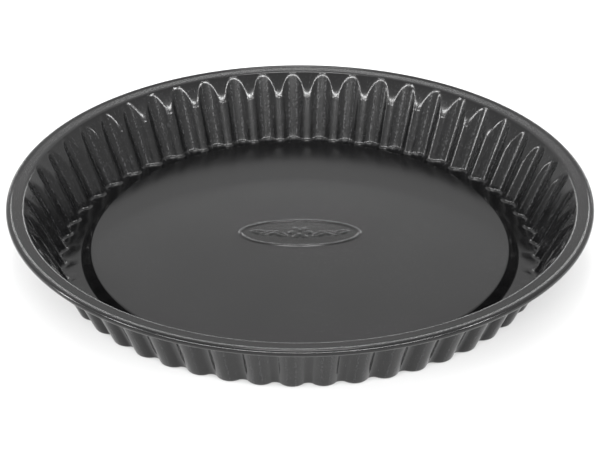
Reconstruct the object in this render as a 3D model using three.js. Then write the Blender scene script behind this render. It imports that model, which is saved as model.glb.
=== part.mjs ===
// Fluted tart pan with a raised centre plateau, 300 mm across.
//
// The pan is one deep-drawn sheet of steel: a round plateau, a flat channel round it, a flared wall
// pressed into outward lobes and inward ridges, a level flange, and an edge that is curled round a
// stiffening wire. The origin is on the resting plane, at the middle of the pan; +Z is up. Millimetres.

import * as THREE from "three";

// Driving dimensions
const RIM_RADIUS = 150; // outside of the curled edge
const RIM_TOP = 36.5; // top of the curled edge, above the resting plane
const SHEET = 0.7; // steel sheet, coating included
const CURL_RADIUS = 1.75; // outside of the curled edge's round section
const WIRE_CLEARANCE = 0.3; // between the wire and the inside of the curl
const CURL_OPENING = 55; // degrees of the curl left open under the flange

const FLANGE_WIDTH = 4.6; // level part of the rim, from the wall's bend to the curl
const FLANGE_DROP = 0.5; // how far the flange lies under the top of the curl
const FLANGE_BEND = 2.2; // upper radius between the wall and the flange
const ARCH_TURN = 50; // degrees of that bend above the arch tops

const FLUTES = 51; // lobes round the wall
const LOBE_FLARE = 24; // degrees from upright
const LOBE_DEPTH = 3.2; // lobe outside the ridges, at the foot of the wall
const CUSP_DEPTH = 2.9; // lobe outside the ridges, where the ridges start to fade
const RIDGE_FADE = 10.9; // height over which a ridge curves out to meet the arch tops
const FADE_POWER = 1.45; // how the ridge leaves its line over that height: 1 is straight
const FOOT_BEND = 2.2; // upper radius of the bend between floor and wall

const CHANNEL_WIDTH = 6.3; // level floor, from the plateau's foot to the bend under a ridge
const PLATEAU_HEIGHT = 7; // upper face of the plateau, above the resting plane
const PLATEAU_EDGE = 2.4; // upper radius of the plateau's edge
const PLATEAU_FOOT = 2.5; // upper radius where the plateau meets the channel floor
const PLATEAU_SLOPE = 52; // degrees from level, of the plateau's side

// Facets
const COLUMNS_PER_FLUTE = 3; // one on the ridge and two on the lobe
const CURL_STEPS = 6;
const WIRE_SIDES = 6;
const WIRE_COLUMNS = 102;

const degrees = THREE.MathUtils.degToRad;
const point = (radius, height) => new THREE.Vector2(radius, height);
const polar = (centre, radius, angle) =>
  point(centre.x + radius * Math.cos(degrees(angle)), centre.y + radius * Math.sin(degrees(angle)));

// Points on a round bend, from one angle to another, both ends included.
function bend(centre, radius, from, to, steps) {
  const points = [];
  for (let step = 0; step <= steps; step += 1) {
    points.push(polar(centre, radius, from + ((to - from) * step) / steps));
  }
  return points;
}

const curlCentre = point(RIM_RADIUS - CURL_RADIUS, RIM_TOP - CURL_RADIUS);
const flangeHeight = RIM_TOP - FLANGE_DROP;
const floorHeight = SHEET;

// Where the level flange runs into the curl: the point of the curl's circle at the flange's height.
const curlStart = THREE.MathUtils.radToDeg(Math.PI - Math.asin((flangeHeight - curlCentre.y) / CURL_RADIUS));
const flangeOuter = polar(curlCentre, CURL_RADIUS, curlStart);
const flangeBendCentre = point(flangeOuter.x - FLANGE_WIDTH, flangeHeight - FLANGE_BEND);
const archTop = polar(flangeBendCentre, FLANGE_BEND, 90 + ARCH_TURN);

// The wall hangs from the arch tops: its flare puts the foot bends in place, lobe first.
const footHeight = floorHeight + FOOT_BEND;
const lobeSlope = Math.tan(degrees(LOBE_FLARE));
const lobeFoot = point(
  archTop.x - (archTop.y - footHeight) * lobeSlope - FOOT_BEND / Math.cos(degrees(LOBE_FLARE)),
  footHeight,
);
const ridgeFoot = point(lobeFoot.x - LOBE_DEPTH, footHeight);
const cuspHeight = archTop.y - RIDGE_FADE;
const cusp = point(archTop.x - RIDGE_FADE * lobeSlope - CUSP_DEPTH, cuspHeight);

// The plateau and the side that drops from it to the channel floor, placed from the foot inwards.
function plateauProfile() {
  const footCentre = point(ridgeFoot.x - CHANNEL_WIDTH, floorHeight + PLATEAU_FOOT);
  const foot = bend(footCentre, PLATEAU_FOOT, 270 - PLATEAU_SLOPE, 270, 1);
  const edgeEnd = polar(point(0, PLATEAU_HEIGHT - PLATEAU_EDGE), PLATEAU_EDGE, 90 - PLATEAU_SLOPE);
  const run = (edgeEnd.y - foot[0].y) / Math.tan(degrees(PLATEAU_SLOPE));
  const edgeCentre = point(foot[0].x - run - edgeEnd.x, PLATEAU_HEIGHT - PLATEAU_EDGE);
  const edge = bend(edgeCentre, PLATEAU_EDGE, 90, 90 - PLATEAU_SLOPE, 1);
  return [point(0, PLATEAU_HEIGHT), ...edge, ...foot];
}

// Upper face of the wall on a ridge: straight up to the cusp, then curving out to the flange's bend.
function ridgeWall() {
  const toCusp = cusp.clone().sub(ridgeFoot);
  const leave = Math.atan2(toCusp.x, toCusp.y) - Math.asin(FOOT_BEND / toCusp.length());
  const foot = bend(ridgeFoot, FOOT_BEND, 270, 360 - THREE.MathUtils.radToDeg(leave), 2);
  const leftOver = archTop.x - cusp.x - RIDGE_FADE * Math.tan(leave);
  const middle = point(
    cusp.x + (RIDGE_FADE / 2) * Math.tan(leave) + leftOver * 0.5 ** FADE_POWER,
    cusp.y + RIDGE_FADE / 2,
  );
  return [...foot, cusp.clone(), middle];
}

// Upper face of the wall on a lobe: straight from the foot to the top of its arch.
function lobeWall() {
  const foot = bend(lobeFoot, FOOT_BEND, 270, 360 - LOBE_FLARE, 2);
  const wallAt = (height) => point(archTop.x - (archTop.y - height) * lobeSlope, height);
  return [...foot, wallAt(cuspHeight), wallAt(cuspHeight + RIDGE_FADE / 2)];
}

// The flange and the curl, which every section shares.
function rimProfile() {
  const flangeBend = bend(flangeBendCentre, FLANGE_BEND, 90 + ARCH_TURN, 90, 1);
  const curlEnd = curlStart - 360 + CURL_OPENING;
  return [...flangeBend, ...bend(curlCentre, CURL_RADIUS, curlStart, curlEnd, CURL_STEPS)];
}

// The lower face of the sheet: the upper face moved by its thickness, square to each stretch.
function lowerFace(upper) {
  const rightOf = (from, to) => point(to.y - from.y, from.x - to.x).normalize();
  return upper.map((here, index) => {
    const before = index > 0 ? rightOf(upper[index - 1], here) : point(0, -1);
    const after = index < upper.length - 1 ? rightOf(here, upper[index + 1]) : before;
    const across = before.clone().add(after).normalize();
    return here.clone().addScaledVector(across, SHEET / across.dot(before));
  });
}

// One closed section of the sheet, from the axis out along its lower face to the curl's edge, and
// back along its upper face.
function sheetSection(wall) {
  const upper = [...plateauProfile(), ...wall, ...rimProfile()];
  return [...lowerFace(upper), ...upper.reverse()];
}

// The drawn pan: the ridge's section turned round the axis, with the lobe's section in its place on
// the columns between one ridge and the next.
function panGeometry() {
  const ridge = sheetSection(ridgeWall());
  const lobe = sheetSection(lobeWall());
  const columns = FLUTES * COLUMNS_PER_FLUTE;
  const geometry = new THREE.LatheGeometry(ridge, columns);
  const place = geometry.getAttribute("position");
  for (let column = 0; column <= columns; column += 1) {
    const onRidge = column % COLUMNS_PER_FLUTE === 0;
    const turn = (2 * Math.PI * column) / columns;
    const section = onRidge ? ridge : lobe;
    section.forEach(({ x, y }, row) => {
      place.setXYZ(column * section.length + row, x * Math.sin(turn), y, x * Math.cos(turn));
    });
  }
  return uprightAndTurned(geometry);
}

function wireGeometry() {
  const radius = CURL_RADIUS - SHEET - WIRE_CLEARANCE;
  const section = bend(curlCentre, radius, 0, 360, WIRE_SIDES);
  return uprightAndTurned(new THREE.LatheGeometry(section, WIRE_COLUMNS));
}

// A lathe turns about Y: this stands it on Z, with a lobe on the +X side.
function uprightAndTurned(geometry) {
  geometry.rotateX(Math.PI / 2);
  geometry.rotateZ(Math.PI / 2 + Math.PI / FLUTES);
  geometry.computeVertexNormals();
  return geometry;
}

const coatedSteel = new THREE.MeshStandardMaterial({ color: 0x3a3a3c, roughness: 0.42, metalness: 0.25 });
coatedSteel.name = "nonstick_coated_steel";
const wireSteel = new THREE.MeshStandardMaterial({ color: 0x8f9194, roughness: 0.35, metalness: 1 });
wireSteel.name = "drawn_steel_wire";

const panShell = new THREE.Mesh(panGeometry(), coatedSteel);
panShell.name = "pan_shell";
const rimWire = new THREE.Mesh(wireGeometry(), wireSteel);
rimWire.name = "rim_wire";

const tartPan = new THREE.Group();
tartPan.add(panShell, rimWire);

export default tartPan;
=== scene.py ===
"""A fluted tart pan in dark non-stick coated steel, on a plain pale floor in soft studio light."""

import math

import bpy
import numpy as np
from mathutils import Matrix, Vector


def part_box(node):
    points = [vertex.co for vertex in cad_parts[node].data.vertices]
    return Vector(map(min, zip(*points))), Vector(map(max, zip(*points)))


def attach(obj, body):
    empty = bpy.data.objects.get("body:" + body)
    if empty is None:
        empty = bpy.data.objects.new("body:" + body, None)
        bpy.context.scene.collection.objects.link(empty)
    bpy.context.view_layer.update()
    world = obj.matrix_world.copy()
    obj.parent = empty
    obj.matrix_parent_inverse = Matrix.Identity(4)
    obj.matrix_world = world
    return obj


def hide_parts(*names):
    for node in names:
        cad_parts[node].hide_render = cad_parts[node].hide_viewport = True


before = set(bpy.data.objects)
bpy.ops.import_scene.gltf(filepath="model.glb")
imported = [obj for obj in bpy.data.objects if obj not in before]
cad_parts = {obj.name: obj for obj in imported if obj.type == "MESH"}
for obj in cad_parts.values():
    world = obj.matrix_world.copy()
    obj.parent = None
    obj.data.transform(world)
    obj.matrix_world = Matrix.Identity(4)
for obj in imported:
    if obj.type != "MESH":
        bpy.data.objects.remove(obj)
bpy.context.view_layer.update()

MM = 0.001
DOWN = 1.5 * math.pi
UP = 0.5 * math.pi

# The rim comes from the frame; the other sizes are those of the drawn sheet.
pan_low, pan_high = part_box("pan_shell")
RIM_RADIUS = max(pan_high.x, pan_high.y, -pan_low.x, -pan_low.y)
RIM_TOP = pan_high.z
SHEET = 0.7 * MM
CURL_RADIUS = 1.75 * MM
CURL_OPENING = math.radians(55)
FLANGE_WIDTH = 4.6 * MM
FLANGE_DROP = 0.5 * MM
FLANGE_BEND = 2.2 * MM
ARCH_TURN = math.radians(50)

FLUTES = 51
LOBE_FLARE = math.radians(24)
LOBE_DEPTH = 3.2 * MM
CUSP_DEPTH = 2.9 * MM
RIDGE_FADE = 10.9 * MM
FADE_POWER = 1.45
FOOT_BEND = 2.2 * MM

# How softly the flutes break out of the plain wall, inside and out, and how far below the cusps.
LIP_SOFTNESS = 0.6 * MM
BACK_SOFTNESS = 1.6 * MM
CUSP_RUN = 1.8 * MM

# Across one flute, in shares of the pitch: half the ridge, and the lobe's middle.
RIDGE_HALF = 0.15
LOBE_MIDDLE = 0.5
FLANK_RISE = 0.18
RIDGE_POWER = 2.0
LOBE_POWER = 2.2

CHANNEL_WIDTH = 6.3 * MM
FLOOR_FALL = 0.9 * MM
PLATEAU_HEIGHT = 7 * MM
PLATEAU_EDGE = 2.4 * MM
PLATEAU_FOOT = 2.5 * MM
PLATEAU_SLOPE = math.radians(52)

# Steps of the mesh, round one flute and along each stretch of the section.
COLUMNS_PER_FLUTE = 36
PLATEAU_STEPS = 7
PLATEAU_BEND_STEPS = 8
FLOOR_STEPS = 4
FOOT_STEPS = 10
LOW_WALL_STEPS = 8
ARCH_STEPS = 51
FLANGE_BEND_STEPS = 9
FLANGE_STEPS = 6
CURL_STEPS = 28

# The round field in the middle that carries the pressed medallion, and the medallion's parts.
FIELD_RADIUS = 38 * MM
FIELD_ROWS = 84
FIELD_COARSER = 3
FIELD_FADE_START = 0.95
FIELD_FADE_WIDTH = 0.1
MEDALLION_PLACE = (0, 5 * MM)
MEDALLION_HALF = (31 * MM, 13 * MM)
MEDALLION_RELIEF = 0.5 * MM
BAND_HALF_WIDTH = 0.8 * MM
BAND_SOFTNESS = 1.0 * MM
PETAL_REACH = 6.0 * MM
PETAL_DIP = 0.45
FLOWER_SOFTNESS = 1.0 * MM
FLOWER_EYE = 1.1 * MM
EYE_SOFTNESS = 0.9 * MM
LEAF_LENGTH = 4.6 * MM
LEAF_WIDTH = 2.2 * MM
LEAF_SOFTNESS = 0.9 * MM
LEAF_SWAY = 1.4 * MM
VEIN_DEPTH = 0.6
VEIN_HALF_WIDTH = 0.15 * MM
VEIN_SOFTNESS = 0.7 * MM
SWELL = 0.5
SWELL_SPREAD = (24 * MM, 9 * MM)

# The coating: sizes of its marks, and how much each changes colour, gloss and surface.
COATING_GLOSS = 0.36
COATING_DARK = (0.0015, 0.0015, 0.0016)
COATING_LIGHT = (0.045, 0.045, 0.047)
STREAK_WIDTH = 0.35 * MM
STREAK_LENGTH = 4 * MM
DOT_WIDTH = 0.8 * MM
DOT_LENGTH = 1.2 * MM
WALL_TOP_FADE = 2 * MM
CLOUD_SIZE = 38 * MM
GRAIN_SIZE = 0.5 * MM
RIPPLE_SIZE = 3.5 * MM
FLECK_SPACING = 0.9 * MM
FLECK_REACH = 0.22
WEAR_LENGTH = 26 * MM
WEAR_WIDTH = 0.3 * MM
WEAR_HEIGHT = 3 * MM
GRAIN_RELIEF = 0.002 * MM
STREAK_RELIEF = 0.008 * MM
RIPPLE_RELIEF = 0.005 * MM

# The bare wire.
WIRE_BRIGHT = (0.45, 0.45, 0.46)
WIRE_DULL = (0.26, 0.255, 0.25)
DIE_LINE_LENGTH = 30 * MM
DIE_LINE_WIDTH = 0.12 * MM
DIE_LINE_RELIEF = 0.01 * MM
SCALE_SIZE = 4 * MM

FLOOR_GLOW = 0.14
FLOOR_HALF = 6.0
FLOOR_CLOUD = 0.6

CAMERA_RISE = 0.525
CAMERA_DISTANCE = 0.991
CAMERA_TARGET = Vector((0, 0.02115, 0.00256))
CAMERA_LENS = 111.62
CAMERA_SENSOR = 36

# Where the lights stand round the pan, in degrees.
BACK = 0
FRONT = 180
LEFT = 270
BAND_SPREAD = 34
SIDE_SPREAD = 68
LIGHT_DISTANCE = 1.6
SKY_STRENGTH = 1.05


def polar(centre, radius, angle):
    return np.array([centre[0] + radius * math.cos(angle), centre[1] + radius * math.sin(angle)])


curl_centre = np.array([RIM_RADIUS - CURL_RADIUS, RIM_TOP - CURL_RADIUS])
flange_height = RIM_TOP - FLANGE_DROP
curl_start = math.pi - math.asin((flange_height - curl_centre[1]) / CURL_RADIUS)
flange_outer = polar(curl_centre, CURL_RADIUS, curl_start)
flange_bend_centre = np.array([flange_outer[0] - FLANGE_WIDTH, flange_height - FLANGE_BEND])
arch_top = polar(flange_bend_centre, FLANGE_BEND, UP + ARCH_TURN)

# The wall hangs from the arch tops: its flare puts the foot bends in place.
foot_height = SHEET + FOOT_BEND
lobe_slope = math.tan(LOBE_FLARE)
lobe_foot_set_back = (arch_top[1] - foot_height) * lobe_slope + FOOT_BEND / math.cos(LOBE_FLARE)
lobe_foot = np.array([arch_top[0] - lobe_foot_set_back, foot_height])
ridge_foot = lobe_foot - np.array([LOBE_DEPTH, 0])
cusp = np.array([arch_top[0] - RIDGE_FADE * lobe_slope - CUSP_DEPTH, arch_top[1] - RIDGE_FADE])
to_cusp = cusp - ridge_foot
ridge_flare = math.atan2(to_cusp[0], to_cusp[1]) - math.asin(FOOT_BEND / math.hypot(*to_cusp))


def arc(centre, radius, start, end, steps):
    """Points (radius, height) round a bend, both ends included."""
    turn = np.linspace(start, end, steps + 1)
    return np.stack([centre[0] + radius * np.cos(turn), centre[1] + radius * np.sin(turn)], -1)


def soft_max(a, b, softness):
    """The larger of two values, with the corner between them rounded."""
    overlap = np.maximum(softness - np.abs(a - b), 0)
    return np.maximum(a, b) + overlap * overlap / (4 * softness)


def around(profile, columns):
    """The same section on every column."""
    return np.repeat(profile[:, None, :], columns, 1)


def flute_columns():
    """Turn of each column round the pan, and how far out it is from a ridge (0) to a lobe (1)."""
    share = np.arange(COLUMNS_PER_FLUTE) / COLUMNS_PER_FLUTE
    turns = (np.arange(FLUTES)[:, None] + share[None, :]).ravel() * (2 * math.pi / FLUTES)
    distance = np.minimum(share, 1 - share)
    ridge = FLANK_RISE * (distance / RIDGE_HALF) ** RIDGE_POWER
    short_of_middle = (LOBE_MIDDLE - distance) / (LOBE_MIDDLE - RIDGE_HALF)
    lobe = 1 - (1 - FLANK_RISE) * short_of_middle ** LOBE_POWER
    wave = np.where(distance < RIDGE_HALF, ridge, lobe)
    return turns + math.pi / FLUTES, np.tile(wave, FLUTES)


def plateau_rows():
    """The plateau outside its middle field, and the side that drops to the channel floor."""
    foot_centre = (ridge_foot[0] - CHANNEL_WIDTH, SHEET + FLOOR_FALL + PLATEAU_FOOT)
    foot = arc(foot_centre, PLATEAU_FOOT, DOWN - PLATEAU_SLOPE, DOWN, PLATEAU_BEND_STEPS)
    edge_centre = (0, PLATEAU_HEIGHT - PLATEAU_EDGE)
    edge = arc(edge_centre, PLATEAU_EDGE, UP, UP - PLATEAU_SLOPE, PLATEAU_BEND_STEPS)
    run = (edge[-1, 1] - foot[0, 1]) / math.tan(PLATEAU_SLOPE)
    edge[:, 0] += foot[0, 0] - run - edge[-1, 0]
    flat_radius = np.linspace(FIELD_RADIUS, edge[0, 0], PLATEAU_STEPS + 1)[:-1]
    flat = np.stack([flat_radius, np.full_like(flat_radius, PLATEAU_HEIGHT)], -1)
    return np.concatenate([flat, edge, foot])


def foot_rows(wave):
    """The bend from the channel floor into the wall, further out under the lobes."""
    ridge = arc(ridge_foot, FOOT_BEND, DOWN, 2 * math.pi - ridge_flare, FOOT_STEPS)
    lobe = arc(lobe_foot, FOOT_BEND, DOWN, 2 * math.pi - LOBE_FLARE, FOOT_STEPS)
    return ridge[:, None] + wave[None, :, None] * (lobe - ridge)[:, None]


def wall_radius(height, wave, softness):
    """Radius of the wall: the pressed flute, or the plain wall that it breaks out of."""
    lobe = arch_top[0] - (arch_top[1] - height) * lobe_slope
    ridge = cusp[0] + (height - cusp[1]) * math.tan(ridge_flare)
    above = np.maximum(height - cusp[1], 0) / RIDGE_FADE
    left_over = arch_top[0] - cusp[0] - RIDGE_FADE * math.tan(ridge_flare)
    plain = ridge + left_over * above ** FADE_POWER - np.maximum(cusp[1] - height, 0)
    return soft_max(ridge + wave * (lobe - ridge), plain, softness)


def wall_rows(start, wave, softness):
    """The wall from the foot bend's end up to the arch tops, in finer steps above the cusps."""
    split = cusp[1] - CUSP_RUN
    low = np.linspace(0, 1, LOW_WALL_STEPS + 1)[1:, None] * (split - start) + start
    high = np.linspace(split, arch_top[1], ARCH_STEPS + 1)[1:]
    height = np.concatenate([low, np.repeat(high[:, None], wave.size, 1)])
    return np.stack([wall_radius(height, wave, softness), height], -1)


def rim_rows():
    """The bend above the arches, the level flange and the curled edge."""
    bend = arc(flange_bend_centre, FLANGE_BEND, UP + ARCH_TURN, UP, FLANGE_BEND_STEPS)[1:]
    across = np.linspace(flange_bend_centre[0], flange_outer[0], FLANGE_STEPS + 1)[1:-1]
    flange = np.stack([across, np.full_like(across, flange_height)], -1)
    curl_end = curl_start - 2 * math.pi + CURL_OPENING
    curl = arc(curl_centre, CURL_RADIUS, curl_start, curl_end, CURL_STEPS)
    return np.concatenate([bend, flange, curl])


def upper_grid(wave, softness):
    """Radius and height of the sheet's upper face: rows from the plateau out to the curl."""
    plateau = plateau_rows()
    foot = foot_rows(wave)
    across_floor = np.linspace(0, 1, FLOOR_STEPS + 1)[1:-1, None, None]
    floor = across_floor * (foot[0] - plateau[-1]) + plateau[-1]
    wall = wall_rows(foot[-1, :, 1], wave, softness)
    rows = [around(plateau, wave.size), floor, foot, wall, around(rim_rows(), wave.size)]
    return np.concatenate(rows)


def on_pan(grid, turns):
    """Positions in space of a grid of (radius, height)."""
    return np.stack([grid[..., 0] * np.cos(turns), grid[..., 0] * np.sin(turns), grid[..., 1]], -1)


def face_out(points):
    """Unit normals of a grid that closes on itself round the pan, on the sheet's upper side."""
    along = np.gradient(points, axis=0)
    round_pan = np.roll(points, -1, axis=1) - np.roll(points, 1, axis=1)
    normal = np.cross(along, round_pan)
    return normal / np.linalg.norm(normal, axis=-1, keepdims=True)


def raised(distance, softness):
    """1 inside an outline, 0 outside it, with a soft side between."""
    share = np.clip(0.5 - distance / softness, 0, 1)
    return share * share * (3 - 2 * share)


def leaf(x, y, centre, lean):
    """A pointed leaf that lies at an angle, with a vein along it."""
    along = (x - centre[0]) * math.cos(lean) + (y - centre[1]) * math.sin(lean)
    across = (y - centre[1]) * math.cos(lean) - (x - centre[0]) * math.sin(lean)
    half_width = LEAF_WIDTH * np.clip(1 - (along / LEAF_LENGTH) ** 2, 0, 1)
    body = raised(np.abs(across) - half_width, LEAF_SOFTNESS)
    vein = VEIN_DEPTH * raised(np.abs(across) - VEIN_HALF_WIDTH, VEIN_SOFTNESS)
    return np.where(np.abs(along) < LEAF_LENGTH, np.maximum(body - vein * body, 0), 0)


def oval_band(x, y):
    """The band round the medallion's edge."""
    half_x, half_y = MEDALLION_HALF
    reach = np.hypot(x / half_x, y / half_y)
    growth = np.hypot(x / half_x ** 2, y / half_y ** 2)
    from_oval = reach * (reach - 1) / np.maximum(growth, 1)
    return raised(np.abs(from_oval) - BAND_HALF_WIDTH, BAND_SOFTNESS)


def flower(x, y):
    """Six petals round a sunken eye."""
    from_middle = np.hypot(x, y)
    open_share = np.abs(np.cos(3 * np.arctan2(y, x)))
    petal = PETAL_REACH * (PETAL_DIP + (1 - PETAL_DIP) * open_share)
    eye = raised(from_middle - FLOWER_EYE, EYE_SOFTNESS)
    return raised(from_middle - petal, FLOWER_SOFTNESS) - eye


def medallion(x, y):
    """Height of the pressed medallion: an oval band round a flower with leaves on both sides."""
    x = x - MEDALLION_PLACE[0]
    y = y - MEDALLION_PLACE[1]
    leaves = np.zeros_like(x)
    for side in (-1, 1):
        for place, lean in ((10.5, 0.6), (16.0, -0.5), (21.5, 0.35)):
            centre = (side * place * MM, LEAF_SWAY * math.sin(place))
            leaves = np.maximum(leaves, leaf(x, y, centre, side * lean))
    relief = np.maximum(oval_band(x, y), np.maximum(flower(x, y), leaves))
    swell = SWELL * np.exp(-((x / SWELL_SPREAD[0]) ** 2 + (y / SWELL_SPREAD[1]) ** 2))
    return MEDALLION_RELIEF * (relief + swell)


def field_points(turns):
    """The middle of the plateau, from the axis outwards, with the medallion pressed into it."""
    radius = np.arange(1, FIELD_ROWS) / FIELD_ROWS * FIELD_RADIUS
    level = np.stack([radius, np.full_like(radius, PLATEAU_HEIGHT)], -1)
    points = on_pan(around(level, turns.size), turns)
    from_edge = radius[:, None] - FIELD_FADE_START * FIELD_RADIUS
    inside = raised(from_edge, FIELD_FADE_WIDTH * FIELD_RADIUS)
    points[..., 2] += medallion(points[..., 0], points[..., 1]) * inside
    return points


def grid_faces(rows, columns, first=0):
    """Four-sided faces of a grid that closes on itself round the pan."""
    row, column = np.meshgrid(np.arange(rows - 1), np.arange(columns), indexing="ij")
    ahead = (column + 1) % columns
    here, below = row * columns, (row + 1) * columns
    corners = [here + column, below + column, below + ahead, here + ahead]
    return (np.stack(corners, -1).reshape(-1, 4) + first).tolist()


def field_faces(rows, columns, first, middle, ring):
    """Faces of the field: a fan at the axis, a grid, and a ring out to the finer grid's edge."""
    faces = grid_faces(rows, columns, first)
    last = first + (rows - 1) * columns
    for column in range(columns):
        ahead = (column + 1) % columns
        faces.append([middle, first + column, first + ahead])
        steps = range(column * FIELD_COARSER, (column + 1) * FIELD_COARSER + 1)
        outer = [ring + step % (columns * FIELD_COARSER) for step in steps]
        faces.append([last + column, *outer, last + ahead])
    return faces


def lip_faces(rows, columns, count):
    """The sheet's bare edge, inside the curl."""
    column = np.arange(columns)
    last = (rows - 1) * columns
    here, ahead = last + column, last + (column + 1) % columns
    return np.stack([here, ahead, count + ahead, count + here], -1).tolist()


def flipped(faces):
    return [face[::-1] for face in faces]


def make_mesh(name, points, faces):
    mesh = bpy.data.meshes.new(name)
    mesh.from_pydata(points.tolist(), [], faces)
    mesh.polygons.foreach_set("use_smooth", [True] * len(mesh.polygons))
    piece = bpy.data.objects.new(name, mesh)
    bpy.context.scene.collection.objects.link(piece)
    return piece


def pan_shell():
    """The pressed sheet as one closed skin: upper face, lower face and the edge between them."""
    turns, wave = flute_columns()
    upper = on_pan(upper_grid(wave, LIP_SOFTNESS), turns)
    soft = on_pan(upper_grid(wave, BACK_SOFTNESS), turns)
    lower = soft - face_out(soft) * SHEET
    field = field_points(turns[::FIELD_COARSER])
    under = field - np.array([0, 0, SHEET])
    axis_height = PLATEAU_HEIGHT + medallion(np.zeros(1), np.zeros(1))[0]
    axis_points = [[0, 0, axis_height], [0, 0, axis_height - SHEET]]
    skins = [grid.reshape(-1, 3) for grid in (upper, lower, field, under)]
    points = np.concatenate([*skins, axis_points])

    rows, columns = upper.shape[:2]
    field_rows, field_columns = field.shape[:2]
    count = rows * columns
    field_count = field_rows * field_columns
    field_first = 2 * count
    axis = field_first + 2 * field_count
    faces = grid_faces(rows, columns)
    faces += flipped(grid_faces(rows, columns, count))
    faces += lip_faces(rows, columns, count)
    faces += field_faces(field_rows, field_columns, field_first, axis, 0)
    below = field_faces(field_rows, field_columns, field_first + field_count, axis + 1, count)
    faces += flipped(below)
    return make_mesh("pan_shell_fine", points, faces)


class Value:
    """A node's output socket, with arithmetic that adds the nodes it needs."""

    def __init__(self, tree, socket):
        self.tree = tree
        self.socket = socket

    def node(self, kind, settings=None, inputs=None, output=0):
        """Adds any node: its settings first, then its inputs, which are numbers or other values."""
        made = self.tree.nodes.new(kind)
        for key, setting in (settings or {}).items():
            setattr(made, key, setting)
        for key, given in (inputs or {}).items():
            if isinstance(given, Value):
                self.tree.links.new(given.socket, made.inputs[key])
            else:
                made.inputs[key].default_value = given
        return Value(self.tree, made.outputs[output])

    def math(self, operation, *given):
        """A Math node on the given operands, or on the value itself where none are given."""
        operands = dict(enumerate(given or (self,)))
        return self.node("ShaderNodeMath", {"operation": operation}, operands)

    def __add__(self, other):
        return self.math("ADD", self, other)

    def __radd__(self, other):
        return self.math("ADD", other, self)

    def __sub__(self, other):
        return self.math("SUBTRACT", self, other)

    def __rsub__(self, other):
        return self.math("SUBTRACT", other, self)

    def __mul__(self, other):
        return self.math("MULTIPLY", self, other)

    def __rmul__(self, other):
        return self.math("MULTIPLY", other, self)

    def __truediv__(self, other):
        return self.math("DIVIDE", self, other)

    def __rtruediv__(self, other):
        return self.math("DIVIDE", other, self)

    def between(self, low, high):
        """0 below one value, 1 above the other, and a soft step from one to the other."""
        inputs = {"Value": self, "From Min": low, "From Max": high, "To Min": 0.0, "To Max": 1.0}
        return self.node("ShaderNodeMapRange", {"interpolation_type": "SMOOTHSTEP"}, inputs)

    def colour(self, dark, light):
        """A colour that goes from one to the other as the value goes from 0 to 1."""
        inputs = {0: self, 6: (*dark, 1), 7: (*light, 1)}
        return self.node("ShaderNodeMix", {"data_type": "RGBA"}, inputs, 2)

    def noise(self, size=1.0, detail=2.0, rough=0.5):
        """Soft noise over a position, with lumps of the given size."""
        inputs = {"Vector": self, "Scale": 1 / size, "Detail": detail, "Roughness": rough}
        return self.node("ShaderNodeTexNoise", {}, inputs)

    def flecks(self, spacing, reach):
        """Small round flecks, one in each cell of the given size."""
        near = self.node("ShaderNodeTexVoronoi", {}, {"Vector": self, "Scale": 1 / spacing})
        return 1 - near.between(0.4 * reach, reach)

    def bump(self, height, strength):
        """The surface's normal, tilted by a height in metres."""
        inputs = {"Strength": strength, "Distance": 1.0, "Height": height}
        return self.node("ShaderNodeBump", {}, inputs)


class Finish:
    """A new material: the place on the piece, and the shader that its values feed."""

    def __init__(self, name):
        self.material = bpy.data.materials.new(name)
        self.material.use_nodes = True
        tree = self.material.node_tree
        self.shader = tree.nodes["Principled BSDF"]
        place = tree.nodes.new("ShaderNodeTexCoord")
        self.place = Value(tree, place.outputs["Object"])
        parts = self.place.node("ShaderNodeSeparateXYZ", {}, {0: self.place}).socket.node.outputs
        self.x, self.y, self.z = (Value(tree, parts[axis]) for axis in range(3))

    def radius(self):
        return (self.x * self.x + self.y * self.y).math("SQRT")

    def turn(self):
        return self.x.math("ARCTAN2", self.y, self.x)

    def feed(self, values):
        """Sets or links each named socket of the shader."""
        for name, given in values.items():
            if isinstance(given, Value):
                given.tree.links.new(given.socket, self.shader.inputs[name])
            else:
                self.shader.inputs[name].default_value = given
        return self.material

    def rolled(self, round_size, radial_size, height_size):
        """A position that runs round the pan, out from its middle and up, each at its own scale."""
        inputs = {
            "X": self.turn() * (RIM_RADIUS / round_size),
            "Y": self.radius() / radial_size,
            "Z": self.z / height_size,
        }
        return self.place.node("ShaderNodeCombineXYZ", {}, inputs)

    def across_flute(self):
        """Distance from the nearest lobe's middle, in shares of the pitch."""
        flute = self.turn() * (FLUTES / (2 * math.pi))
        return (flute - flute.math("ROUND")).math("ABSOLUTE")


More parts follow.
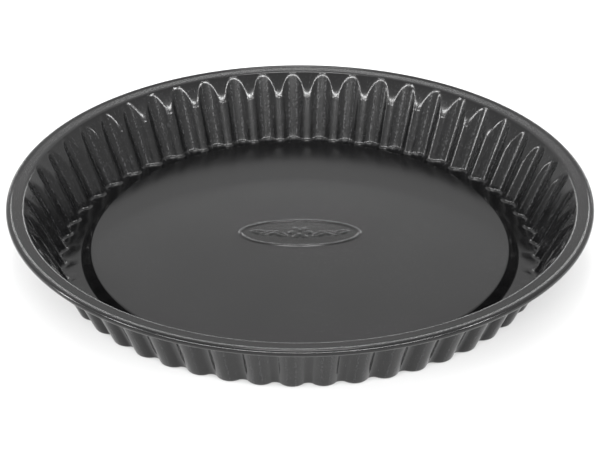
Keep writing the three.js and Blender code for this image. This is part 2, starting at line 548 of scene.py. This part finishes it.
def coated_steel():
    """Dark satin coating over drawn steel: fine fleck, streaks up the wall, faint handling wear,
    and painted highlight lines down the lobes.
    """
    finish = Finish("nonstick_coated_steel")
    radius = finish.radius()
    past_floor = radius.between(ridge_foot[0], lobe_foot[0])
    past_wall = radius.between(arch_top[0] - WALL_TOP_FADE, arch_top[0])
    wall = past_floor * (1 - past_wall)
    streaks = finish.rolled(STREAK_WIDTH, STREAK_LENGTH, STREAK_LENGTH).noise(1.0, 3.0, 0.65)
    dots = finish.rolled(DOT_WIDTH, DOT_LENGTH, DOT_LENGTH).noise(1.0, 2.0, 0.6)
    broken = dots.between(0.42, 0.62)
    drawn = wall * streaks.between(0.5, 0.72) * broken
    across = finish.across_flute()
    # Painted highlight: a lighter band down the wall either side of each lobe's middle, where
    # highlight streaks fall on the lobes; it also roughens the coat there.
    crease_highlight = across.between(0.08, 0.12) * (1 - across.between(0.14, 0.18)) * wall * broken

    cloud = finish.place.noise(CLOUD_SIZE, 3.0)
    grain = finish.place.noise(GRAIN_SIZE, 2.0, 0.6)
    ripple = finish.place.noise(RIPPLE_SIZE)
    fleck = finish.place.flecks(FLECK_SPACING, FLECK_REACH)
    wear = finish.rolled(WEAR_LENGTH, WEAR_WIDTH, WEAR_HEIGHT).noise(1.0, 2.0).between(0.6, 0.78)
    # How light the coat is: drawn streaks, flecks and random tone, plus the painted highlight lines
    # down the lobes.
    light = drawn * 0.5 + crease_highlight * 0.3 + fleck * 0.25 + cloud * 0.03
    roughness = 0.13 + cloud * 0.05 + grain * 0.03 + drawn * 0.14
    roughness = roughness + crease_highlight * 0.12 + fleck * 0.1 + wear * 0.03
    height = grain * GRAIN_RELIEF + drawn * STREAK_RELIEF + ripple * RIPPLE_RELIEF
    return finish.feed({
        "Base Color": light.colour(COATING_DARK, COATING_LIGHT),
        "Roughness": roughness,
        "Specular IOR Level": COATING_GLOSS,
        "Normal": finish.place.bump(height, 0.6),
    })


def steel_wire():
    """Bare drawn wire, with die lines along it and a little dull scale."""
    finish = Finish("drawn_steel_wire")
    lines = finish.rolled(DIE_LINE_LENGTH, DIE_LINE_WIDTH, DIE_LINE_WIDTH).noise()
    scale = finish.place.noise(SCALE_SIZE, 3.0).between(0.45, 0.7)
    return finish.feed({
        "Base Color": scale.colour(WIRE_BRIGHT, WIRE_DULL),
        "Metallic": 1,
        "Roughness": 0.24 + lines * 0.16 + scale * 0.2,
        "Normal": finish.place.bump(lines * DIE_LINE_RELIEF, 0.5),
    })


def pale_floor():
    """A plain pale studio floor that glows a little, to keep the shadow round the pan soft."""
    finish = Finish("pale_floor")
    cloud = finish.place.noise(FLOOR_CLOUD)
    material = finish.feed({
        "Base Color": cloud.colour((0.54, 0.54, 0.54), (0.57, 0.57, 0.57)),
        "Roughness": 0.8 + cloud * 0.15,
        "Emission Color": (1, 1, 1, 1),
        "Emission Strength": FLOOR_GLOW,
    })
    corners = np.array([[-1, -1, 0], [1, -1, 0], [1, 1, 0], [-1, 1, 0]]) * FLOOR_HALF
    floor = make_mesh("floor", corners, [[0, 1, 2, 3]])
    floor.data.materials.append(material)


def camera():
    data = bpy.data.cameras.new("camera")
    data.sensor_width = CAMERA_SENSOR
    data.lens = CAMERA_LENS
    data.clip_end = 50
    eye = bpy.data.objects.new("camera", data)
    bpy.context.scene.collection.objects.link(eye)
    away = Vector((0, -math.cos(CAMERA_RISE), math.sin(CAMERA_RISE)))
    eye.location = CAMERA_TARGET + CAMERA_DISTANCE * away
    eye.rotation_euler = (UP - CAMERA_RISE, 0, 0)
    bpy.context.scene.camera = eye


def softbox(name, azimuth, elevation, width, height, radiance):
    """An evenly lit panel that faces the pan. Azimuths in degrees: 0 is behind it, 180 in front."""
    data = bpy.data.lights.new(name, "AREA")
    data.shape = "RECTANGLE"
    data.size = width
    data.size_y = height
    data.energy = radiance * width * height * math.pi
    light = bpy.data.objects.new(name, data)
    turn, rise = math.radians(azimuth), math.radians(elevation)
    level = math.cos(rise)
    away = Vector((math.sin(turn) * level, math.cos(turn) * level, math.sin(rise)))
    light.location = away * LIGHT_DISTANCE
    light.rotation_euler = (-away).to_track_quat("-Z", "Y").to_euler()
    bpy.context.scene.collection.objects.link(light)


def studio():
    """An even white sky, a broad light above and behind, and narrow strips that edge the arches."""
    world = bpy.data.worlds.new("studio")
    world.use_nodes = True
    sky = world.node_tree.nodes["Background"]
    sky.inputs["Color"].default_value = (1, 1, 1, 1)
    sky.inputs["Strength"].default_value = SKY_STRENGTH
    bpy.context.scene.world = world
    bpy.context.scene.view_settings.view_transform = "Standard"
    softbox("overhead", BACK, elevation=86, width=0.5, height=0.35, radiance=15)
    softbox("back", BACK, elevation=54, width=2.2, height=0.9, radiance=0.5)
    softbox("back_low", BACK, elevation=19, width=1.9, height=0.07, radiance=13)
    for side in (-1, 0, 1):
        azimuth = FRONT + BAND_SPREAD * side
        softbox(f"band_{side}", azimuth, elevation=33, width=0.9, height=0.06, radiance=80)
    for side in (-1, 1):
        azimuth = FRONT + SIDE_SPREAD * side
        softbox(f"side_{side}", azimuth, elevation=32, width=0.3, height=0.12, radiance=60)
    softbox("low_left", LEFT, elevation=18, width=0.09, height=0.4, radiance=50)


pan = pan_shell()
pan.data.materials.append(coated_steel())
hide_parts("pan_shell")
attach(pan, "root")

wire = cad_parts["rim_wire"]
wire.data.materials.clear()
wire.data.materials.append(steel_wire())

camera()
pale_floor()
studio()


def corners(box):
    return [[float(value) for value in corner] for corner in box]
